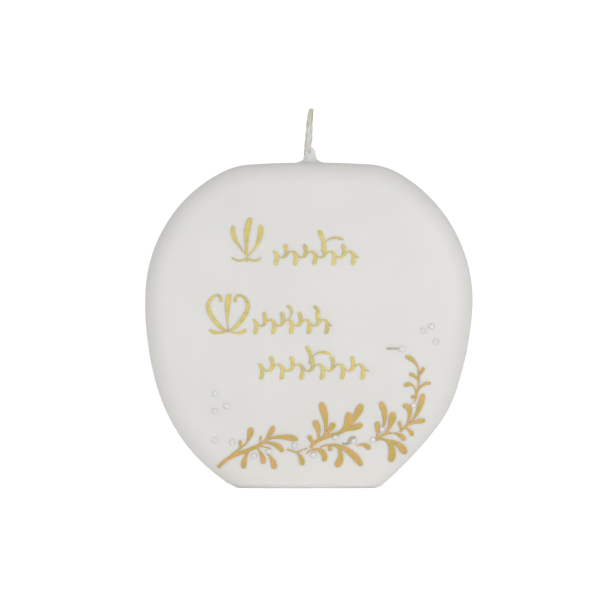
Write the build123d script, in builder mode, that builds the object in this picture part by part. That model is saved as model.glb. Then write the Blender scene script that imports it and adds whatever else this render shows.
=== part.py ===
"""A disc-shaped, overdipped unity candle with gold penwork, a gold leaf sprig and rhinestones.

Millimetres, +Z up. The candle stands on Z = 0 with its foot centred on the origin and its
decorated face towards -Y. Every piece is a separate solid in a STEP file of its own.
"""

from build123d import *
from math import sqrt
import os

# The white body: a disc standing on its edge, seen from the front.
BODY_HEIGHT = 119.5
BODY_DEPTH = 44.0
FACE_RADIUS = 300.0
FACE_MIDDLE = 60.0
RIM_RADIUS = 9.0
FOOT_RADIUS = 1.2
COAT = 1.5

# Each side of the outline runs from the top down to the foot: (radius, turn in degrees).
RIGHT_SIDE = [(320, 4), (25, 26), (54, 64), (120, 13.5), (50, 19.5), (125, 13)]
LEFT_SIDE = [(320, 4), (24, 21.5), (51, 61.5), (112, 17.5), (64, 32), (62, 13.5)]

# The wick: a straight length inside the body, then (height, sideways offset, radius) up to its tip.
WICK_X = 0.4
WICK_RADIUS = 1.3
WICK_TOP = [
    (126.5, -0.3, 1.3),
    (131.0, 0.1, 1.25),
    (135.0, 0.3, 1.1),
    (138.0, 0.7, 0.95),
    (139.8, 0.9, 0.6),
]

# The wax drawn up round the wick, with one bead that ran down beside it.
COLLAR_RADIUS = 4.6
COLLAR_HEIGHT = 3.0
COLLAR_WALL = 0.7
COLLAR_SINK = 0.2
BEAD_RADIUS = 1.5
BEAD_SHIFT = 1.6
BEAD_FORWARD = 0.3

# The tin sustainer in the base, and the recess round it.
SUSTAINER_RADIUS = 8.0
SUSTAINER_SHEET = 0.4
NECK_HEIGHT = 5.0
NECK_WALL = 0.3
RECESS_DEPTH = 1.0
RECESS_GAP = 0.5

# Raised gold: how far it stands out, and how a stroke's width varies along it.
PEN_HEIGHT = 0.5
SPRIG_HEIGHT = 0.6
LEAF = [(0.0, 0.2), (0.3, 0.42), (0.6, 0.85), (0.8, 1.0), (0.95, 0.75)]
STEM = [(0.0, 0.8), (0.3, 1.0), (0.7, 1.0), (0.98, 0.7)]
CURL = [(0.0, 0.5), (0.2, 0.9), (0.4, 1.0), (0.6, 0.9), (0.75, 0.6), (0.85, 0.55), (0.96, 0.7)]

# Penwork motifs: every stroke has its points, its width and the way the width varies.
PEN_MOTIFS = {
    "tulip": [
        ([(-22.6, 82.8), (-22.9, 89.5), (-22.5, 95.0), (-21.4, 99.2)], 2.2, LEAF),
        ([(-22.8, 85.0), (-25.4, 88.6), (-27.4, 92.0), (-27.6, 96.2)], 1.6, LEAF),
        ([(-22.7, 85.0), (-19.8, 88.0), (-18.0, 92.0), (-17.8, 96.6)], 1.9, LEAF),
        ([(-28.2, 84.6), (-25.4, 83.4), (-22.6, 84.4)], 0.7, STEM),
        ([(-22.6, 84.4), (-20.0, 83.4), (-17.4, 84.6)], 0.7, STEM),
    ],
    "heart": [
        ([(-29.8, 57.4), (-35.2, 62.4), (-36.4, 68.8), (-33.4, 70.8), (-32.2, 68.2)], 1.5, CURL),
        ([(-29.4, 57.4), (-24.2, 62.4), (-22.8, 68.8), (-25.6, 70.8), (-27.0, 68.2)], 1.5, CURL),
        ([(-29.6, 58.0), (-29.9, 63.0), (-29.8, 67.0), (-29.0, 71.4)], 2.0, LEAF),
        ([(-29.8, 57.8), (-33.0, 57.0), (-36.6, 58.2)], 1.2, LEAF),
        ([(-29.4, 57.8), (-26.2, 57.0), (-22.8, 58.2)], 1.2, LEAF),
    ],
}

# Penwork vines: (left end, right end, lowest point, height, bends), and the sprouts on them.
PEN_VINES = {
    "upper_vine": (-13.2, 18.4, 81.8, 7.6, 9),
    "middle_vine": (-20.6, 8.6, 56.6, 8.0, 9),
    "lower_vine": (-18.6, 22.0, 40.0, 8.4, 11),
}
VINE_LOW = 0.36
VINE_HIGH = 0.66
VINE_STEM = 0.55
VINE_LEAF = 1.5
# One bend of the stem and one leaf, in shares of the pitch along the row and of the way across it.
VINE_WAVE = [(0, 0), (0.25, 0.1), (0.75, 0.9), (1, 1)]
VINE_DROP = [(0, 0), (0.4, 0.5), (0.2, 1)]
PEN_SPROUTS = {
    "upper_vine": [
        ([(4.5, 86.6), (5.0, 91.0), (3.4, 94.6)], 1.5, LEAF),
        ([(4.6, 87.6), (7.6, 91.4), (12.6, 91.0)], 0.9, LEAF),
    ],
    "middle_vine": [
        ([(-7.6, 62.0), (-6.4, 65.2), (-8.2, 67.0)], 1.1, LEAF),
        ([(2.2, 61.8), (3.4, 65.0), (1.6, 66.8)], 1.1, LEAF),
    ],
    "lower_vine": [
        ([(-0.2, 45.4), (0.4, 49.2), (-1.2, 52.2)], 1.3, LEAF),
        ([(-0.1, 46.2), (3.0, 49.6), (8.0, 49.2)], 0.9, LEAF),
    ],
}

# Flat-backed rhinestones: size across, girdle, crown and its slope, and their places on the face.
STONE = 2.2
GIRDLE = 0.3
CROWN = 0.6
CROWN_SLOPE = 38
STONE_GAP = 0.1
STONES = {
    "left": [(-34.4, 34.7), (-30.1, 30.2), (-34.4, 28.3), (-34.4, 17.6), (-28.1, 17.0)],
    "lower": [(-20.1, 12.1), (-14.7, 13.6), (-5.3, 15.9), (1.5, 12.3), (9.7, 18.8), (16.3, 17.3)],
    "right": [(23.3, 17.9), (26.7, 21.7), (38.2, 30.5), (33.9, 51.2)],
    "upper": [(41.7, 57.8), (44.8, 59.4), (46.3, 53.8)],
}

# The leaf sprig: every island of gold has its leaves (points, width) and its stems (points, width).
SPRIG_LEAVES = {
    "left_branch": [
        ([(-25.2, 14.9), (-25.3, 16.3), (-24.9, 17.7)], 1.3),
        ([(-23.2, 16.2), (-22.0, 18.6), (-21.2, 22.4)], 2.3),
        ([(-17.9, 16.6), (-17.9, 17.8), (-17.5, 19.4)], 0.8),
        ([(-17.0, 16.8), (-14.6, 19.6), (-12.9, 23.0)], 1.9),
        ([(-16.6, 17.0), (-11.5, 18.9), (-7.5, 18.7), (-4.0, 18.0)], 2.1),
        ([(-17.8, 16.3), (-13.8, 16.6), (-11.3, 15.5), (-9.6, 13.4)], 1.9),
        ([(-19.4, 15.2), (-17.4, 12.6), (-16.7, 9.0)], 1.9),
        ([(-21.2, 14.4), (-23.3, 11.3), (-24.0, 7.3)], 2.0),
    ],
    "loose_leaf": [([(-15.4, 12.8), (-13.8, 11.1), (-12.8, 7.2)], 2.2)],
    "link_leaf": [([(-5.4, 13.6), (-3.2, 11.8), (-2.5, 8.5)], 1.9)],
    "middle_branch": [
        ([(1.3, 15.9), (0.9, 17.6), (-0.4, 19.4)], 1.7),
        ([(3.2, 17.6), (3.5, 20.5), (1.8, 25.0)], 2.4),
        ([(5.3, 19.0), (6.1, 24.0), (5.6, 27.5), (4.2, 31.6)], 2.6),
        ([(5.6, 19.0), (7.5, 21.5), (9.3, 24.0)], 2.2),
        ([(11.0, 20.6), (13.5, 23.4), (14.5, 28.0)], 2.6),
        ([(13.6, 21.8), (16.8, 26.0), (19.2, 31.0)], 2.7),
        ([(11.8, 20.9), (15.5, 22.0), (19.5, 23.6)], 2.3),
    ],
    "lower_curl": [([(-1.0, 12.6), (1.4, 14.2), (4.0, 14.1), (5.5, 12.6), (5.2, 10.0)], 2.0)],
    "lower_scroll": [
        ([(4.0, 15.2), (7.2, 16.0), (11.5, 15.4), (15.5, 12.9), (19.4, 8.3)], 2.4),
        ([(7.1, 15.9), (7.6, 14.9), (7.8, 13.8)], 1.7),
        ([(9.3, 15.7), (11.4, 13.4), (11.4, 10.6), (9.7, 8.1)], 2.5),
    ],
    "small_leaf": [([(17.3, 15.5), (20.0, 16.1), (22.3, 14.4)], 1.8)],
    "right_branch": [
        ([(24.8, 18.2), (25.1, 21.2), (24.9, 24.6)], 2.0),
        ([(25.5, 20.5), (27.7, 25.0), (27.4, 28.6), (26.0, 31.8)], 2.2),
        ([(27.9, 19.9), (29.8, 23.5), (30.8, 28.0)], 2.6),
        ([(30.0, 20.3), (33.0, 19.7), (35.2, 17.6)], 1.8),
        ([(25.0, 17.7), (28.4, 17.6), (30.2, 14.8), (29.6, 9.8)], 2.6),
        ([(27.0, 17.8), (31.5, 16.8), (35.6, 12.6)], 2.4),
    ],
    "right_spray": [
        ([(33.6, 21.2), (33.3, 23.0), (33.0, 24.8)], 1.3),
        ([(35.6, 22.8), (36.8, 26.8), (36.4, 29.6), (34.2, 30.3)], 2.0),
        ([(35.8, 23.0), (39.2, 27.0), (40.9, 31.0), (41.8, 34.8)], 2.0),
        ([(36.0, 23.2), (39.0, 24.3), (42.6, 25.0)], 1.8),
        ([(34.8, 22.0), (37.0, 21.2), (37.8, 19.2)], 1.5),
    ],
    "upper_curl": [
        ([(38.8, 36.4), (37.4, 38.2), (34.8, 37.5)], 1.5),
        ([(39.6, 35.2), (41.0, 37.3), (42.5, 38.4), (44.6, 38.4)], 1.2),
        ([(39.1, 33.2), (38.2, 33.4), (37.6, 34.1)], 1.5),
        ([(40.1, 43.0), (38.4, 46.7), (35.2, 48.4)], 1.6),
        ([(40.3, 41.0), (41.2, 42.6), (42.0, 44.4)], 1.3),
        ([(40.2, 39.2), (38.6, 41.2), (36.6, 42.0)], 1.4),
    ],
}
SPRIG_STEMS = {
    "left_branch": [
        ([(-33.3, 7.5), (-28.0, 11.8), (-21.2, 14.5), (-16.2, 17.4)], 1.4),
        ([(-28.6, 12.2), (-25.2, 14.8), (-23.0, 16.5)], 0.7),
        ([(-19.0, 15.4), (-15.8, 15.2), (-13.8, 14.7)], 0.4),
    ],
    "link_leaf": [
        ([(-8.2, 14.3), (-6.6, 14.0), (-5.0, 13.4)], 0.6),
        ([(-5.0, 13.4), (-2.5, 14.1), (-0.4, 15.0)], 0.4),
    ],
    "middle_branch": [([(0.5, 15.0), (3.0, 17.4), (8.2, 19.5), (14.2, 22.0)], 1.3)],
    "stone_loop": [
        ([(12.3, 16.7), (13.5, 16.4), (14.9, 16.6)], 0.4),
        ([(14.6, 16.8), (15.4, 18.8), (17.2, 18.6)], 0.5),
    ],
    "right_branch": [([(24.3, 17.6), (27.4, 19.8), (30.4, 20.3)], 0.8)],
    "right_spray": [([(33.2, 20.8), (34.4, 21.9), (36.4, 23.4)], 0.8)],
    "upper_curl": [
        ([(38.6, 32.0), (39.3, 34.3), (38.7, 36.6)], 0.7),
        ([(39.7, 35.6), (40.2, 40.0), (40.0, 43.6)], 0.6),
        ([(39.2, 34.0), (39.5, 34.8), (39.7, 35.8)], 0.6),
    ],
    "tip_stroke": [([(28.4, 51.2), (30.7, 51.3), (33.5, 51.2)], 0.5)],
}

os.makedirs("parts", exist_ok=True)


def outline(grow):
    """Draw the front outline of the disc, moved outwards by grow, as tangent arcs and a bottom curve."""
    ends = []
    for arcs, side in ((RIGHT_SIDE, 1), (LEFT_SIDE, -1)):
        point = Vector(0, BODY_HEIGHT + grow)
        heading = Vector(side, 0)
        for radius, turn in arcs:
            arc = JernArc(point, heading, radius + grow, -side * turn)
            point = arc @ 1
            heading = arc % 1
        ends.append((point, heading))
    (right, right_heading), (left, left_heading) = ends
    Spline(right, left, tangents=[right_heading, -left_heading])


def tablet(grow):
    """The body with its whole surface moved outwards by grow: two shallow domes and a rounded rim."""
    with BuildPart() as body:
        with BuildSketch(Plane.XZ):
            with BuildLine():
                outline(grow)
            make_face()
        extrude(amount=BODY_DEPTH, both=True)
        for side in (1, -1):
            with Locations((0, side * (FACE_RADIUS - BODY_DEPTH / 2), FACE_MIDDLE)):
                Sphere(FACE_RADIUS + grow, mode=Mode.INTERSECT)
        fillet(body.edges().filter_by(Axis.Y, reverse=True), RIM_RADIUS + grow)
        split(bisect_by=Plane.XY)
    return body.part


def brush(points, width, profile):
    """The flat shape of one stroke: a curve through points, as wide along it as profile says."""
    with BuildSketch() as shape:
        with BuildLine():
            middle = Spline(*points, mode=Mode.PRIVATE)
            left = []
            right = []
            for place, share in profile:
                across = (middle % place).rotate(Axis.Z, 90) * (width * share / 2)
                left.append(middle @ place + across)
                right.append(middle @ place - across)
            left_edge = Spline(*left)
            right_edge = Spline(*right)
            ThreePointArc(left_edge @ 1, middle @ 1, right_edge @ 1)
            Line(left_edge @ 0, right_edge @ 0)
        make_face()
    return shape.sketch


def vine(start, end, base, height, bends):
    """The flat shape of a running vine: a thin wavy stem with one drop-shaped leaf in each bend."""
    pitch = (end - start) / bends
    levels = (base + VINE_HIGH * height, base + VINE_LOW * height)
    tips = (base, base + height)
    shapes = []
    for bend in range(bends):
        x = start + bend * pitch
        z = levels[bend % 2]
        fall = levels[(bend + 1) % 2] - z
        reach = tips[bend % 2] - z
        wave = [(x + run * pitch, z + share * fall) for run, share in VINE_WAVE]
        leaf = [(x + run * pitch, z + share * reach) for run, share in VINE_DROP]
        shapes.append(brush(wave, VINE_STEM, STEM))
        shapes.append(brush(leaf, VINE_LEAF, LEAF))
    return shapes


def raised(shapes, skin):
    """Gold laid on the face: the shapes cut out of a skin that follows the wax, round the stones."""
    with BuildPart() as island:
        with BuildSketch(Plane.XZ):
            for shape in shapes:
                add(shape)
            for spots in STONES.values():
                with Locations(*spots):
                    Circle(STONE / 2 + STONE_GAP, mode=Mode.SUBTRACT)
        extrude(amount=BODY_DEPTH)
        add(skin, mode=Mode.INTERSECT)
    return island


def face_plane(x, z):
    """The plane that touches the wax of the decorated face at x, z, with its normal outwards."""
    centre = Vector(0, FACE_RADIUS - BODY_DEPTH / 2, FACE_MIDDLE)
    reach = sqrt(FACE_RADIUS**2 - x**2 - (z - FACE_MIDDLE) ** 2)
    point = Vector(x, centre.Y - reach, z)
    return Plane(origin=point, x_dir=(0, 0, 1), z_dir=point - centre)


def finish(piece, name):
    """Label a finished piece and write it out."""
    piece.part.label = name
    export_step(piece.part, f"parts/{name}.step")


wax_shape = tablet(0)
core_shape = tablet(-COAT)

# Wick: straight inside the wax, slightly bent and tapering above it.
with BuildPart() as wick:
    with BuildSketch(Plane.XY.offset(RECESS_DEPTH)):
        with Locations((WICK_X, 0)):
            Circle(WICK_RADIUS)
    extrude(amount=BODY_HEIGHT - RECESS_DEPTH)
    with BuildSketch(Plane.XY.offset(BODY_HEIGHT)):
        with Locations((WICK_X, 0)):
            Circle(WICK_RADIUS)
    for height, shift, radius in WICK_TOP:
        with BuildSketch(Plane.XY.offset(height)):
            with Locations((shift, 0)):
                Circle(radius)
    loft()
finish(wick, "wick")

# Sustainer: a thin tin disc in the base recess, with a neck crimped round the wick.
with BuildPart() as wick_sustainer:
    with BuildSketch(Plane.XY.offset(RECESS_DEPTH - SUSTAINER_SHEET)):
        with Locations((WICK_X, 0)):
            Circle(SUSTAINER_RADIUS)
    extrude(amount=SUSTAINER_SHEET)
    with BuildSketch(Plane.XY.offset(RECESS_DEPTH)):
        with Locations((WICK_X, 0)):
            Circle(WICK_RADIUS + NECK_WALL)
            Circle(WICK_RADIUS, mode=Mode.SUBTRACT)
    extrude(amount=NECK_HEIGHT)
finish(wick_sustainer, "wick_sustainer")

# Core: the cast wax inside the coat, with the wick's bore, the neck's seat and the base recess.
with BuildPart() as wax_core:
    add(core_shape)
    with BuildSketch(Plane.XY):
        with Locations((WICK_X, 0)):
            Circle(SUSTAINER_RADIUS + RECESS_GAP)
    extrude(amount=RECESS_DEPTH, mode=Mode.SUBTRACT)
    with BuildSketch(Plane.XY.offset(RECESS_DEPTH)):
        with Locations((WICK_X, 0)):
            Circle(WICK_RADIUS + NECK_WALL)
    extrude(amount=NECK_HEIGHT, mode=Mode.SUBTRACT)
    add(wick.part, mode=Mode.SUBTRACT)
finish(wax_core, "wax_core")

# Dip coat: the outer skin, open under the foot, with the collar and the bead at the wick's root.
with BuildPart() as dip_coat:
    add(wax_shape)
    foot_edges = dip_coat.faces().sort_by(Axis.Z)[0].edges()
    fillet(foot_edges, FOOT_RADIUS)
    with BuildSketch(Plane.XZ):
        with BuildLine():
            inner = Polyline(
                (WICK_X + WICK_RADIUS + COLLAR_WALL, BODY_HEIGHT + COLLAR_HEIGHT),
                (WICK_X, BODY_HEIGHT + COLLAR_HEIGHT),
                (WICK_X, BODY_HEIGHT - COAT),
                (WICK_X + COLLAR_RADIUS, BODY_HEIGHT - COAT),
                (WICK_X + COLLAR_RADIUS, BODY_HEIGHT - COLLAR_SINK),
            )
            RadiusArc(inner @ 1, inner @ 0, COLLAR_RADIUS)
        make_face()
    revolve(axis=Axis((WICK_X, 0, 0), (0, 0, 1)))
    with Locations((WICK_X + BEAD_SHIFT, -BEAD_FORWARD, BODY_HEIGHT + COLLAR_HEIGHT)):
        Sphere(BEAD_RADIUS)
    add(core_shape, mode=Mode.SUBTRACT)
    add(wick.part, mode=Mode.SUBTRACT)
finish(dip_coat, "dip_coat")

# Rhinestones: each one an eight-sided stone with a flat back on the wax.
for place, spots in STONES.items():
    for number, (x, z) in enumerate(spots, 1):
        seat = face_plane(x, z)
        with BuildPart() as stone:
            with BuildSketch(seat):
                RegularPolygon(STONE / 2, 8)
            extrude(amount=GIRDLE)
            with BuildSketch(seat.offset(GIRDLE)):
                RegularPolygon(STONE / 2, 8)
            extrude(amount=CROWN, taper=CROWN_SLOPE)
        finish(stone, f"rhinestone_{place}_{number}")

# Gold penwork: two large motifs and three running vines, drawn in raised paste on the wax.
with BuildPart() as pen_skin:
    add(tablet(PEN_HEIGHT))
    add(wax_shape, mode=Mode.SUBTRACT)
for name, strokes in PEN_MOTIFS.items():
    shapes = [brush(points, width, profile) for points, width, profile in strokes]
    finish(raised(shapes, pen_skin.part), f"penwork_{name}")
for name, (start, end, base, height, bends) in PEN_VINES.items():
    shapes = vine(start, end, base, height, bends)
    for points, width, profile in PEN_SPROUTS[name]:
        shapes.append(brush(points, width, profile))
    finish(raised(shapes, pen_skin.part), f"penwork_{name}")

# Gold leaf sprig: thicker raised paint, in separate islands.
with BuildPart() as sprig_skin:
    add(tablet(SPRIG_HEIGHT))
    add(wax_shape, mode=Mode.SUBTRACT)
for name in sorted(SPRIG_LEAVES.keys() | SPRIG_STEMS.keys()):
    shapes = [brush(points, width, LEAF) for points, width in SPRIG_LEAVES.get(name, [])]
    shapes += [brush(points, width, STEM) for points, width in SPRIG_STEMS.get(name, [])]
    finish(raised(shapes, sprig_skin.part), f"sprig_{name}")
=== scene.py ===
"""Looks of the unity candle: satin wax, a waxed braided wick, raised gold and clear rhinestones.

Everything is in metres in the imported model's frame. The decorated face looks along -Y.
"""

import math
import random

import bmesh
import bpy
from mathutils import Matrix, Vector, noise


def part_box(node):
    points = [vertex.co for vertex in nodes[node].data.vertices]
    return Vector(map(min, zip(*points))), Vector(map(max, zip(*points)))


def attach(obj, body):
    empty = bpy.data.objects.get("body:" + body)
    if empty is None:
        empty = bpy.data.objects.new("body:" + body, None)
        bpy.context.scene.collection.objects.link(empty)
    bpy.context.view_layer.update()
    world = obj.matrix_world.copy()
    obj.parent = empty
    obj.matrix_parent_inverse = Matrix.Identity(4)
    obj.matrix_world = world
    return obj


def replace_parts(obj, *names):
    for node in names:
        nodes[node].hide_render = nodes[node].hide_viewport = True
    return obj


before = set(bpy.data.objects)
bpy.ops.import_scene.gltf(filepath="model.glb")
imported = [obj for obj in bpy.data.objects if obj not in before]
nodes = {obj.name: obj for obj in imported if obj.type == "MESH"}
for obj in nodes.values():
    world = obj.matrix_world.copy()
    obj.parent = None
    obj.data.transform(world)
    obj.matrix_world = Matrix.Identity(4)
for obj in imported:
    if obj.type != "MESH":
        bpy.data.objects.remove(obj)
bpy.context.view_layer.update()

MM = 0.001

# The camera: far off, level with the middle of the body. It sees as far as the floor reaches.
CAMERA_DISTANCE = 3.0
CAMERA_HEIGHT = 0.075
AIM = Vector((-0.0033, 0.0, 0.069))
VIEW_WIDTH = 0.2208
SENSOR = 36.0
FLOOR_SIZE = 60

# The light that the world and the floor give the candle, and how bright they are to the camera.
WORLD_FILL = 0.54
WORLD_WHITE = 1.05
FLOOR_WHITE = (0.88, 0.88, 0.88, 1)
FLOOR_EMISSION = 0.19
FLOOR_GLOW = 0.42
LIGHTS_AIM = Vector((0, 0, 0.06))
WHITE = (1, 1, 1, 1)

# The body's own sizes: the two domed faces and the wax drawn up round the wick.
FACE_RADIUS = 300 * MM
FACE_MIDDLE = 60 * MM
BODY_LOW, BODY_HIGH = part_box("wax_core")
COAT_LOW, COAT_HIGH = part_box("dip_coat")
DEPTH = COAT_HIGH.y - COAT_LOW.y
SUSTAINER_LOW, SUSTAINER_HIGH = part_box("wick_sustainer")
WICK_X = (SUSTAINER_LOW.x + SUSTAINER_HIGH.x) / 2
COAT_WALL = (COAT_HIGH.x - COAT_LOW.x - BODY_HIGH.x + BODY_LOW.x) / 2
BODY_TOP = BODY_HIGH.z + COAT_WALL
WICK_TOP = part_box("wick")[1].z
TOP_RADIUS = 320 * MM
# The middle of the sphere that the decorated face is a part of.
DOME_CENTRE = Vector((0, FACE_RADIUS - DEPTH / 2, FACE_MIDDLE))

# How finely each piece is meshed, and how many steps of smoothing it gets.
COAT_VOXEL = 0.8 * MM
ROOT_VOXEL = 0.14 * MM
WICK_VOXEL = 0.13 * MM
GOLD_VOXEL = 0.13 * MM
COAT_SMOOTHING = 3
WAX_SMOOTHING = 4
GOLD_SMOOTHING = 10

# Lumps of hand work on each piece: (size, height).
ROOT_ROUGHNESS = [(1.2 * MM, 0.12 * MM)]
WICK_ROUGHNESS = [(0.5 * MM, 0.07 * MM), (2.2 * MM, 0.14 * MM)]
GOLD_ROUGHNESS = [(1.3 * MM, 0.09 * MM), (0.45 * MM, 0.05 * MM)]


# ---------------------------------------------------------------- node helpers
def new_material(name):
    """A node material with only a Principled shader and an output, and its node tree."""
    material = bpy.data.materials.new(name)
    material.use_nodes = True
    tree = material.node_tree
    return material, tree, tree.nodes["Principled BSDF"]


def add_node(tree, kind, **settings):
    """A new node, with its properties and its inputs set by name."""
    node = tree.nodes.new(kind)
    for key, value in settings.items():
        if hasattr(node, key):
            setattr(node, key, value)
        else:
            node.inputs[key.replace("_", " ")].default_value = value
    return node


def link(tree, source, target):
    """A wire from an output to an input."""
    tree.links.new(source, target)


def object_noise(tree, scale, detail=2.0, roughness=0.5):
    """Noise laid in the object's own space, in cells per metre."""
    place = add_node(tree, "ShaderNodeTexCoord")
    cloud = add_node(tree, "ShaderNodeTexNoise", Scale=scale, Detail=detail, Roughness=roughness)
    link(tree, place.outputs["Object"], cloud.inputs["Vector"])
    return cloud.outputs["Fac"]


def colour_ramp(tree, factor, stops):
    """A ramp through (position, (r, g, b)) stops."""
    ramp = add_node(tree, "ShaderNodeValToRGB")
    elements = ramp.color_ramp.elements
    for spare in range(len(stops) - 2):
        elements.new(0.5)
    for element, (position, colour) in zip(elements, stops):
        element.position = position
        element.color = (*colour, 1)
    link(tree, factor, ramp.inputs["Fac"])
    return ramp.outputs["Color"]


def value_range(tree, factor, low, high):
    """The factor, from 0 to 1, spread over low to high."""
    spread = add_node(tree, "ShaderNodeMapRange")
    spread.inputs["To Min"].default_value = low
    spread.inputs["To Max"].default_value = high
    link(tree, factor, spread.inputs["Value"])
    return spread.outputs["Result"]


def add_bump(tree, shader, layers):
    """Bump from (height, distance, strength) layers, one over the other."""
    normal = None
    for height, distance, strength in layers:
        bump = add_node(tree, "ShaderNodeBump", Distance=distance, Strength=strength)
        link(tree, height, bump.inputs["Height"])
        if normal:
            link(tree, normal, bump.inputs["Normal"])
        normal = bump.outputs["Normal"]
    link(tree, normal, shader.inputs["Normal"])


# ---------------------------------------------------------------- materials
def wax_material():
    """White candle wax: faintly mottled, satin, with light scattered under its surface."""
    material, tree, shader = new_material("white_wax")
    cloud = object_noise(tree, 45, 3)
    colour = colour_ramp(tree, cloud, [(0.3, (0.80, 0.79, 0.765)), (0.7, (0.83, 0.82, 0.80))])
    link(tree, colour, shader.inputs["Base Color"])
    shader.inputs["Subsurface Weight"].default_value = 0.35
    shader.inputs["Subsurface Radius"].default_value = (1.0, 0.85, 0.7)
    shader.inputs["Subsurface Scale"].default_value = 2.5 * MM
    shader.inputs["IOR"].default_value = 1.44
    fine = object_noise(tree, 700, 4, 0.6)
    broad = object_noise(tree, 120, 2)
    link(tree, value_range(tree, fine, 0.36, 0.52), shader.inputs["Roughness"])
    add_bump(tree, shader, [(broad, 0.12 * MM, 0.35), (fine, 0.02 * MM, 0.3)])
    return material


# Heights on the wick: the wax thins out between the first two, and the tip greys above the third.
WAX_THINS = WICK_TOP - 8 * MM
WAX_ENDS = WICK_TOP - 5 * MM
TIP_GREYS = WICK_TOP - 1.6 * MM
TIP_GREY = (0.44, 0.43, 0.42, 1)


def wick_material():
    """Cotton soaked in wax: off-white, a little yellow where the fibres show, grey at the tip."""
    material, tree, shader = new_material("waxed_cotton")
    place = add_node(tree, "ShaderNodeTexCoord")
    stretch = add_node(tree, "ShaderNodeMapping")
    stretch.inputs["Scale"].default_value = (1100, 1100, 260)
    strand = add_node(tree, "ShaderNodeTexNoise", Scale=1.0, Detail=4.0)
    link(tree, place.outputs["Object"], stretch.inputs["Vector"])
    link(tree, stretch.outputs["Vector"], strand.inputs["Vector"])
    fibres = strand.outputs["Fac"]
    waxed = colour_ramp(tree, fibres, [(0.3, (0.64, 0.62, 0.58)), (0.65, (0.76, 0.75, 0.71))])
    bare = colour_ramp(tree, fibres, [(0.3, (0.50, 0.49, 0.36)), (0.65, (0.70, 0.68, 0.55))])
    split = add_node(tree, "ShaderNodeSeparateXYZ")
    link(tree, place.outputs["Object"], split.inputs[0])
    colour = waxed
    for low, high, layer in ((WAX_THINS, WAX_ENDS, bare), (TIP_GREYS, WICK_TOP, None)):
        height = add_node(tree, "ShaderNodeMapRange")
        height.inputs["From Min"].default_value = low
        height.inputs["From Max"].default_value = high
        link(tree, split.outputs["Z"], height.inputs["Value"])
        mix = add_node(tree, "ShaderNodeMix", data_type="RGBA")
        link(tree, height.outputs["Result"], mix.inputs["Factor"])
        link(tree, colour, mix.inputs["A"])
        if layer:
            link(tree, layer, mix.inputs["B"])
        else:
            mix.inputs["B"].default_value = TIP_GREY
        colour = mix.outputs["Result"]
    link(tree, colour, shader.inputs["Base Color"])
    shader.inputs["Subsurface Weight"].default_value = 0.2
    shader.inputs["Subsurface Radius"].default_value = (1.0, 0.8, 0.5)
    shader.inputs["Subsurface Scale"].default_value = 0.8 * MM
    link(tree, value_range(tree, fibres, 0.4, 0.6), shader.inputs["Roughness"])
    add_bump(tree, shader, [(fibres, 0.05 * MM, 0.5)])
    return material


def gold_material(name, grain, dark, middle, light):
    """Gold paint: mottled between three tones, with a fine metallic grain in its gloss."""
    material, tree, shader = new_material(name)
    mottle = object_noise(tree, 260, 4, 0.65)
    colour = colour_ramp(tree, mottle, [(0.36, dark), (0.5, middle), (0.62, light)])
    link(tree, colour, shader.inputs["Base Color"])
    shader.inputs["Metallic"].default_value = 0.2
    flakes = object_noise(tree, grain, 3, 0.7)
    link(tree, value_range(tree, flakes, 0.28, 0.6), shader.inputs["Roughness"])
    add_bump(tree, shader, [(mottle, 0.1 * MM, 0.4), (flakes, 0.03 * MM, 0.5)])
    return material


def stone_material():
    """The clear crown of a rhinestone."""
    material, tree, shader = new_material("clear_crystal")
    shader.inputs["Base Color"].default_value = (0.95, 0.95, 0.94, 1)
    shader.inputs["Transmission Weight"].default_value = 0.2
    shader.inputs["Specular IOR Level"].default_value = 0.9
    shader.inputs["IOR"].default_value = 1.55
    tiny = object_noise(tree, 2500, 2)
    link(tree, value_range(tree, tiny, 0.0, 0.04), shader.inputs["Roughness"])
    return material


def foil_material():
    """The silvered back of a rhinestone."""
    material, tree, shader = new_material("silver_foil")
    tone = object_noise(tree, 1800, 3)
    colour = colour_ramp(tree, tone, [(0.3, (0.84, 0.84, 0.84)), (0.7, (0.94, 0.94, 0.94))])
    link(tree, colour, shader.inputs["Base Color"])
    shader.inputs["Metallic"].default_value = 0.7
    link(tree, value_range(tree, tone, 0.15, 0.35), shader.inputs["Roughness"])
    return material


def tin_material():
    """Rolled tinplate with fine scratches."""
    material, tree, shader = new_material("tinplate")
    place = add_node(tree, "ShaderNodeTexCoord")
    stretch = add_node(tree, "ShaderNodeMapping")
    stretch.inputs["Scale"].default_value = (4000, 160, 160)
    streaks = add_node(tree, "ShaderNodeTexNoise", Scale=1.0, Detail=4.0)
    link(tree, place.outputs["Object"], stretch.inputs["Vector"])
    link(tree, stretch.outputs["Vector"], streaks.inputs["Vector"])
    rolled = streaks.outputs["Fac"]
    colour = colour_ramp(tree, rolled, [(0.3, (0.55, 0.55, 0.56)), (0.7, (0.72, 0.72, 0.73))])
    link(tree, colour, shader.inputs["Base Color"])
    shader.inputs["Metallic"].default_value = 1.0
    link(tree, value_range(tree, rolled, 0.22, 0.42), shader.inputs["Roughness"])
    add_bump(tree, shader, [(rolled, 0.02 * MM, 0.4)])
    return material


# ---------------------------------------------------------------- mesh helpers
def new_object(name, mesh, material):
    """A smooth-shaded piece with one material, riding on the candle."""
    piece = bpy.data.objects.new(name, mesh)
    bpy.context.scene.collection.objects.link(piece)
    mesh.materials.clear()
    mesh.materials.append(material)
    mesh.polygons.foreach_set("use_smooth", [True] * len(mesh.polygons))
    return piece


def cad_bmesh(*names):
    """The meshes of CAD nodes, copied into one bmesh."""
    bm = bmesh.new()
    for name in names:
        bm.from_mesh(nodes[name].data)
    return bm


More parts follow.
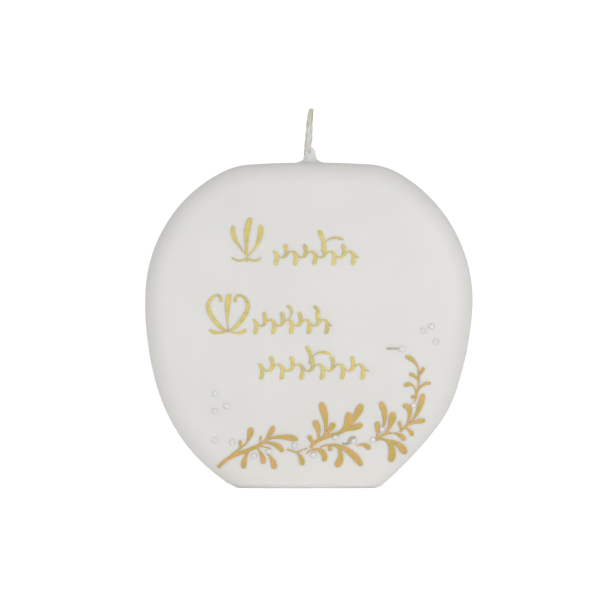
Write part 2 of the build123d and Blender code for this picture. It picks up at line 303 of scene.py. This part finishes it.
def remeshed(bm, voxel, smooth_steps, swell=0.0, lumps=()):
    """The bmesh as one voxel-remeshed, smoothed mesh. Frees the bmesh.

    A swell grows the mesh, or thins it if it is negative. The lumps are (size, height) pairs.
    """
    mesh = bpy.data.meshes.new("work")
    bm.to_mesh(mesh)
    bm.free()
    work = bpy.data.objects.new("work", mesh)
    bpy.context.scene.collection.objects.link(work)
    remesh = work.modifiers.new("remesh", "REMESH")
    remesh.mode = "VOXEL"
    remesh.voxel_size = voxel
    smooth = work.modifiers.new("smooth", "SMOOTH")
    smooth.factor = 0.5
    smooth.iterations = smooth_steps
    if swell:
        grow = work.modifiers.new("swell", "DISPLACE")
        grow.mid_level = 0
        grow.strength = swell
    for size, height in lumps:
        cloud = bpy.data.textures.new("lumps", "CLOUDS")
        cloud.noise_scale = size
        push = work.modifiers.new("lumps", "DISPLACE")
        push.texture = cloud
        push.texture_coords = "LOCAL"
        push.strength = height
    graph = bpy.context.evaluated_depsgraph_get()
    result = bpy.data.meshes.new_from_object(work.evaluated_get(graph))
    bpy.data.objects.remove(work)
    bpy.data.meshes.remove(mesh)
    return result


def ease(value, low, high):
    """0 below low, 1 above high, and a smooth step between them."""
    t = min(max((value - low) / (high - low), 0.0), 1.0)
    return t * t * (3 - 2 * t)


def turns(count, shift=0.0):
    """Evenly spaced angles round a full turn, moved on by a share of their step."""
    return [2 * math.pi * (k + shift) / count for k in range(count)]


def join_rings(bm, rings):
    """A closed skin over rings of vertices that all have the same count."""
    for low, high in zip(rings, rings[1:]):
        for k in range(len(low)):
            after = (k + 1) % len(low)
            bm.faces.new((low[k], low[after], high[after], high[k]))
    bm.faces.new(reversed(rings[0]))
    bm.faces.new(rings[-1])


def dome_depth(x, z):
    """How far the domed faces stand from the middle plane at x, z."""
    sphere = math.sqrt(FACE_RADIUS**2 - x**2 - (z - FACE_MIDDLE) ** 2)
    return sphere - FACE_RADIUS + DEPTH / 2


# ---------------------------------------------------------------- wax
# The turned-under lower edge. Its height, in millimetres, waves and falls to the right.
LIP_HEIGHT = 1.5
LIP_WAVES = ((0.15, 7 * MM, 1.0), (0.1, 3.1 * MM, 0.0))
LIP_FALL = 0.7
LIP_FALL_FROM = 4 * MM
LIP_FALL_TO = 26 * MM
LIP_TUCK_X = 0.02
LIP_TUCK_Y = 0.07

# How much the coat bulges over that edge, and between which heights above it the bulge ends.
BULGE = 0.16 * MM
BULGE_FROM = 0.3 * MM
BULGE_TO = 1.3 * MM

# Slow unevenness of a hand-dipped surface: noises as (cells per metre, share), their height in
# millimetres, and how much less it is on the front. The foot stays even.
WAVES = ((38, 0.6), (90, 0.25))
WAVE_HEIGHT = 0.32
FRONT_CALM = 0.26
FRONT_FROM = 16 * MM
FRONT_FULL = 19 * MM
FOOT_CALM = 8 * MM

# A vertex this close to a dome is put on it.
DOME_REACH = 0.07 * MM

# The part of the coat that make_root replaces, and the part along the foot that is cut finer.
COLLAR_RADIUS = 7.5 * MM
COLLAR_BASE = BODY_TOP - 1 * MM
FOOT_LOW = 0.1 * MM
FOOT_HIGH = 2.6 * MM
FOOT_CUTS = 3

# The cone and the plaited wick both start inside the coat.
INSIDE_COAT = BODY_TOP - 1.2 * MM

# The cone of wax round the wick, in millimetres: it falls off from its neck and sinks in at its
# edge.
CONE_HEIGHT = 3.7
CONE_NECK = 1.2
CONE_FALL = 1.3
CONE_SINK = 0.13
CONE_RADII = [0.3 + 0.25 * i for i in range(28)]
CONE_CORNERS = 48
# How far the cone is from round: (share of the radius, waves in a turn, start).
CONE_WAVES = ((0.06, 2, 0.6), (0.04, 5, 0.0))

# Drips and lumps on the cone: middle above the wax's top and radii, in millimetres, and lean.
ROOT_LUMPS = [
    ((1.5, -0.4, 3.6), (0.85, 0.8, 1.9), -9),
    ((2.0, -0.6, 2.0), (0.75, 0.8, 0.9), 0),
    ((-1.3, -0.5, 2.1), (0.7, 0.8, 0.9), 20),
    ((-0.7, -1.1, 1.5), (0.8, 0.6, 0.7), 0),
    ((0.5, -1.3, 2.3), (0.6, 0.5, 1.0), -8),
    ((1.4, -1.3, 1.4), (0.7, 0.5, 0.6), 0),
    ((-0.9, -0.7, 3.6), (0.55, 0.6, 1.0), 5),
    ((0.2, 1.0, 2.8), (1.0, 0.6, 1.2), 0),
    ((0.85, -0.3, 4.6), (0.55, 0.6, 1.7), -9),
]


def subdivide_where(bm, inside, cuts):
    """Cut the edges of every face whose middle satisfies inside."""
    edges = [
        edge for edge in bm.edges
        if any(inside(face.calc_center_median()) for face in edge.link_faces)
    ]
    bmesh.ops.subdivide_edges(bm, edges=edges, cuts=cuts, use_grid_fill=True)


def lip_height(x):
    """How high the turned-under lower edge of the coat is at x."""
    wave = sum(height * math.sin(x / length + start) for height, length, start in LIP_WAVES)
    return (LIP_HEIGHT + wave - LIP_FALL * ease(x, LIP_FALL_FROM, LIP_FALL_TO)) * MM


def shape_coat(bm):
    """Hand-dipped detail: true domes, slow unevenness, the turned-under lower edge."""
    bm.normal_update()
    for vertex in bm.verts:
        x, y, z = vertex.co
        point = Vector((x, y, z))
        depth = dome_depth(x, z)
        if abs(abs(y) - depth) < DOME_REACH:
            vertex.co.y = math.copysign(depth, y)
        wave = sum(noise.noise(point * cells) * share for cells, share in WAVES)
        above_foot = ease(z, 0, FOOT_CALM)
        height = WAVE_HEIGHT - FRONT_CALM * ease(-y, FRONT_FROM, FRONT_FULL)
        vertex.co += vertex.normal * wave * above_foot * height * MM
        lip = lip_height(x)
        side = Vector((vertex.normal.x, vertex.normal.y, 0))
        if z < lip:
            under = (lip - max(z, 0)) / lip
            vertex.co.x *= 1 - LIP_TUCK_X * under
            vertex.co.y *= 1 - LIP_TUCK_Y * under
        elif side.length > 0.5:
            left = 1 - ease(z, lip + BULGE_FROM, lip + BULGE_TO)
            vertex.co += side.normalized() * BULGE * left


def top_height(x):
    """The height of the wax's top, where it isn't drawn up round the wick."""
    return BODY_TOP - x**2 / (2 * TOP_RADIUS)


def make_coat(material):
    """The outer wax, finer along the foot. Its collar is left to the root wax."""
    body = cad_bmesh("dip_coat", "wax_core", "wick_sustainer")
    mesh = remeshed(body, COAT_VOXEL, COAT_SMOOTHING)
    bm = bmesh.new()
    bm.from_mesh(mesh)
    for vertex in bm.verts:
        x, y, z = vertex.co
        if z > COLLAR_BASE and math.hypot(x - WICK_X, y) < COLLAR_RADIUS:
            vertex.co.z = top_height(x)
    subdivide_where(bm, lambda point: FOOT_LOW < point.z < FOOT_HIGH, FOOT_CUTS)
    shape_coat(bm)
    bm.to_mesh(mesh)
    bm.free()
    coat = new_object("wax_coat", mesh, material)
    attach(coat, "root")
    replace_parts(coat, "dip_coat")


def add_ball(bm, middle, radii, lean):
    """An ellipsoid: its middle and radii in millimetres above the wax's top, leaning sideways."""
    ball = bmesh.ops.create_icosphere(bm, subdivisions=3, radius=1.0)
    turn = Matrix.Rotation(math.radians(lean), 4, "Y")
    stretch = Matrix.Diagonal((*(radius * MM for radius in radii), 1))
    place = Matrix.Translation((middle[0] * MM, middle[1] * MM, BODY_TOP + middle[2] * MM))
    bmesh.ops.transform(bm, matrix=place @ turn @ stretch, verts=ball["verts"])


def make_root(material):
    """The wax drawn up round the wick: a cone that runs out on the top, with drips and lumps."""
    bm = bmesh.new()
    profile = [(CONE_RADII[-1] * MM, INSIDE_COAT)]
    for radius in reversed(CONE_RADII):
        climb = CONE_HEIGHT * math.exp(-max(radius - CONE_NECK, 0) / CONE_FALL) - CONE_SINK
        profile.append((radius * MM, top_height(0) + climb * MM))
    rings = []
    for radius, height in profile:
        ring = []
        for angle in turns(CONE_CORNERS):
            waves = (share * math.sin(count * angle + start) for share, count, start in CONE_WAVES)
            out = radius * (1 + sum(waves))
            corner = (WICK_X + out * math.cos(angle), out * math.sin(angle), height)
            ring.append(bm.verts.new(corner))
        rings.append(ring)
    join_rings(bm, rings)
    for middle, radii, lean in ROOT_LUMPS:
        add_ball(bm, middle, radii, lean)
    mesh = remeshed(bm, ROOT_VOXEL, WAX_SMOOTHING, lumps=ROOT_ROUGHNESS)
    root = new_object("root_wax", mesh, material)
    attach(root, "root")


# ---------------------------------------------------------------- wick
# The plait of the wick. Its swing sideways and in depth and each strand's radius are shares of
# the wick's half width.
PLAIT_TOP = WICK_TOP - 0.45 * MM
PLAIT_STEPS = 60
PLAIT_PITCH = 11 * MM
PLAIT_SIDE = 0.28
PLAIT_DEPTH = 0.22
STRAND_RADIUS = 0.76
STRAND_COUNT = 3
STRAND_CORNERS = 16


def wick_section(mesh, height):
    """The middle of the CAD wick at a height, and half its width, from the edges that cross it."""
    crossings = []
    for edge in mesh.edges:
        a, b = (mesh.vertices[index].co for index in edge.vertices)
        if (a.z - height) * (b.z - height) < 0:
            crossings.append(a.x + (b.x - a.x) * (height - a.z) / (b.z - a.z))
    return (min(crossings) + max(crossings)) / 2, (max(crossings) - min(crossings)) / 2


def add_tube(bm, path, radii, sides):
    """A closed tube round a path of points, with its own radius at each point."""
    rings = []
    for i, (point, radius) in enumerate(zip(path, radii)):
        ahead = path[min(i + 1, len(path) - 1)] - path[max(i - 1, 0)]
        across = ahead.cross(Vector((0, 1, 0))).normalized()
        other = ahead.cross(across).normalized()
        ring = []
        for angle in turns(sides):
            outward = across * math.cos(angle) + other * math.sin(angle)
            ring.append(bm.verts.new(point + outward * radius))
        rings.append(ring)
    join_rings(bm, rings)


def make_wick(material):
    """Three plaited strands soaked in wax, from inside the collar to the tip."""
    bm = bmesh.new()
    sections = []
    for i in range(PLAIT_STEPS + 1):
        height = INSIDE_COAT + (PLAIT_TOP - INSIDE_COAT) * i / PLAIT_STEPS
        sections.append((height, *wick_section(nodes["wick"].data, height)))
    for strand in range(STRAND_COUNT):
        path = []
        radii = []
        for height, middle, half in sections:
            turn = 2 * math.pi * ((height - INSIDE_COAT) / PLAIT_PITCH + strand / STRAND_COUNT)
            x = middle + PLAIT_SIDE * half * math.sin(turn)
            y = PLAIT_DEPTH * half * math.sin(2 * turn)
            path.append(Vector((x, y, height)))
            radii.append(half * STRAND_RADIUS)
        add_tube(bm, path, radii, STRAND_CORNERS)
    mesh = remeshed(bm, WICK_VOXEL, WAX_SMOOTHING, lumps=WICK_ROUGHNESS)
    wick = new_object("braided_wick", mesh, material)
    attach(wick, "root")
    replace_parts(wick, "wick")


# ---------------------------------------------------------------- gold
# How much each kind of stroke grows all round, or thins if negative.
THIN_STROKE_SWELL = 0.02 * MM
LEAF_SWELL = -0.04 * MM
PEN_SWELL = -0.03 * MM
THIN_STROKES = ("sprig_tip_stroke", "sprig_stone_loop")


def make_gold(name, material, swell):
    """Raised paint: the CAD relief with rounded edges and a slightly uneven surface.

    Paint that is thinned is moved back by as much, so that it still lies on the wax.
    """
    mesh = remeshed(cad_bmesh(name), GOLD_VOXEL, GOLD_SMOOTHING, swell, GOLD_ROUGHNESS)
    mesh.transform(Matrix.Translation((0, max(-swell, 0), 0)))
    gold = new_object(name + "_paint", mesh, material)
    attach(gold, "root")
    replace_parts(gold, name)


# ---------------------------------------------------------------- rhinestones
# Rings of corners: share of the stone's radius, height in millimetres, count, and shift in steps.
CROWN_RINGS = [
    (0.95, 0.12, 16, 0),
    (0.97, 0.3, 16, 0),
    (0.8, 0.55, 8, 0.5),
    (0.62, 0.76, 8, 0),
    (0.3, 0.86, 8, 0),
]
FOIL_RINGS = [(0.98, -0.2, 20, 0), (0.98, 0.02, 20, 0), (0.9, 0.1, 20, 0)]
# How far a stone may tip either way, in degrees.
STONE_TIP = 4
# The corners of a stone's flat back are this close to its lowest one.
BACK_REACH = 0.02 * MM


def stone_frame(name):
    """The middle of a stone's flat back, the way it faces, and its radius, from its CAD mesh."""
    points = [vertex.co for vertex in nodes[name].data.vertices]
    facing = (sum(points, Vector()) / len(points) - DOME_CENTRE).normalized()
    lowest = min(point.dot(facing) for point in points)
    base = [point for point in points if point.dot(facing) < lowest + BACK_REACH]
    middle = sum(base, Vector()) / len(base)
    radius = max((point - middle).length for point in base)
    return middle, facing, radius


def hull_object(name, points, material):
    """The flat-shaded convex piece round some points."""
    bm = bmesh.new()
    corners = [bm.verts.new(point) for point in points]
    bmesh.ops.convex_hull(bm, input=corners)
    mesh = bpy.data.meshes.new(name)
    bm.to_mesh(mesh)
    bm.free()
    piece = new_object(name, mesh, material)
    mesh.polygons.foreach_set("use_smooth", [False] * len(mesh.polygons))
    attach(piece, "root")
    return piece


def make_stone(name, crystal, foil, dice):
    """A flat-backed stone on its foil: a girdle, three rows of crown facets and a table."""
    middle, facing, radius = stone_frame(name)
    turn = facing.to_track_quat("Z", "Y").to_matrix().to_4x4()
    twist = Matrix.Rotation(dice.uniform(0, math.pi / 4), 4, "Z")
    tip_x = Matrix.Rotation(math.radians(dice.uniform(-STONE_TIP, STONE_TIP)), 4, "X")
    tip_y = Matrix.Rotation(math.radians(dice.uniform(-STONE_TIP, STONE_TIP)), 4, "Y")
    place = Matrix.Translation(middle) @ turn @ (tip_x @ tip_y) @ twist

    def corners(rings):
        """The corners of the rings, in place on the candle."""
        points = []
        for share, height, count, shift in rings:
            out = radius * share
            for angle in turns(count, shift):
                corner = Vector((out * math.cos(angle), out * math.sin(angle), height * MM))
                points.append(place @ corner)
        return points

    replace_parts(hull_object(name + "_crown", corners(CROWN_RINGS), crystal), name)
    hull_object(name + "_foil", corners(FOIL_RINGS), foil)


# ---------------------------------------------------------------- stage
def make_camera():
    """A long lens that frames VIEW_WIDTH at the candle."""
    data = bpy.data.cameras.new("camera")
    data.sensor_width = SENSOR
    data.lens = SENSOR * CAMERA_DISTANCE / VIEW_WIDTH
    data.clip_end = FLOOR_SIZE
    camera = bpy.data.objects.new("camera", data)
    bpy.context.scene.collection.objects.link(camera)
    camera.location = (AIM.x, -CAMERA_DISTANCE, CAMERA_HEIGHT)
    camera.rotation_euler = (AIM - camera.location).to_track_quat("-Z", "Y").to_euler()
    bpy.context.scene.camera = camera


def area_light(name, place, size, power, colour):
    """A rectangular light, in watts, turned to the middle of the candle."""
    data = bpy.data.lights.new(name, "AREA")
    data.shape = "RECTANGLE"
    data.size, data.size_y = size
    data.energy = power
    data.color = colour
    light = bpy.data.objects.new(name, data)
    bpy.context.scene.collection.objects.link(light)
    light.location = place
    light.rotation_euler = (LIGHTS_AIM - light.location).to_track_quat("-Z", "Y").to_euler()


def make_lights():
    """A white studio: an even world, a soft light on the right and a weaker one on the left."""
    world = bpy.data.worlds.new("studio")
    bpy.context.scene.world = world
    world.use_nodes = True
    tree = world.node_tree
    tree.nodes.clear()
    fill = add_node(tree, "ShaderNodeBackground", Color=WHITE, Strength=WORLD_FILL)
    white = add_node(tree, "ShaderNodeBackground", Color=WHITE, Strength=WORLD_WHITE)
    rays = add_node(tree, "ShaderNodeLightPath")
    mix = add_node(tree, "ShaderNodeMixShader")
    output = add_node(tree, "ShaderNodeOutputWorld")
    link(tree, rays.outputs["Is Camera Ray"], mix.inputs[0])
    link(tree, fill.outputs[0], mix.inputs[1])
    link(tree, white.outputs[0], mix.inputs[2])
    link(tree, mix.outputs[0], output.inputs[0])
    area_light("key", (0.9, -1.5, 0.3), size=(1.0, 0.5), power=6.8, colour=(1, 0.995, 0.985))
    area_light("fill", (-1.0, -1.4, 0.3), size=(1.2, 0.6), power=3.5, colour=(1, 1, 1))


def make_floor():
    """A plain white floor, brighter to the camera than in the light it throws on the candle."""
    bpy.ops.mesh.primitive_plane_add(size=FLOOR_SIZE, location=(0, 0, 0))
    floor = bpy.context.object
    floor.name = "floor"
    material, tree, shader = new_material("floor_white")
    shader.inputs["Base Color"].default_value = FLOOR_WHITE
    shader.inputs["Roughness"].default_value = 0.9
    shader.inputs["Emission Color"].default_value = WHITE
    shader.inputs["Emission Strength"].default_value = FLOOR_EMISSION
    glow = add_node(tree, "ShaderNodeEmission", Color=WHITE, Strength=FLOOR_GLOW)
    both = add_node(tree, "ShaderNodeAddShader")
    rays = add_node(tree, "ShaderNodeLightPath")
    mix = add_node(tree, "ShaderNodeMixShader")
    link(tree, shader.outputs[0], both.inputs[0])
    link(tree, glow.outputs[0], both.inputs[1])
    link(tree, rays.outputs["Is Camera Ray"], mix.inputs[0])
    link(tree, shader.outputs[0], mix.inputs[1])
    link(tree, both.outputs[0], mix.inputs[2])
    link(tree, mix.outputs[0], tree.nodes["Material Output"].inputs["Surface"])
    floor.data.materials.append(material)


# ---------------------------------------------------------------- build
bpy.context.scene.view_settings.view_transform = "Standard"
make_camera()
make_lights()
make_floor()

wax = wax_material()
make_coat(wax)
make_root(wax)
for name, material in (("wax_core", wax), ("wick_sustainer", tin_material())):
    nodes[name].data.materials.clear()
    nodes[name].data.materials.append(material)
make_wick(wick_material())

leaf_tones = (0.56, 0.44, 0.11), (0.65, 0.45, 0.13), (0.76, 0.44, 0.17)
thin_tones = (0.36, 0.34, 0.22), (0.48, 0.42, 0.26), (0.58, 0.50, 0.34)
pen_tones = (0.60, 0.50, 0.20), (0.72, 0.60, 0.19), (0.80, 0.66, 0.18)
leaf_gold = gold_material("leaf_gold", 1500, *leaf_tones)
thin_gold = gold_material("thin_gold", 1500, *thin_tones)
pen_gold = gold_material("pen_gold", 3000, *pen_tones)
crystal = stone_material()
foil = foil_material()
dice = random.Random(7)
for name in sorted(nodes):
    if name in THIN_STROKES:
        make_gold(name, thin_gold, THIN_STROKE_SWELL)
    elif name.startswith("sprig_"):
        make_gold(name, leaf_gold, LEAF_SWELL)
    elif name.startswith("penwork_"):
        make_gold(name, pen_gold, PEN_SWELL)
    elif name.startswith("rhinestone_"):
        make_stone(name, crystal, foil, dice)
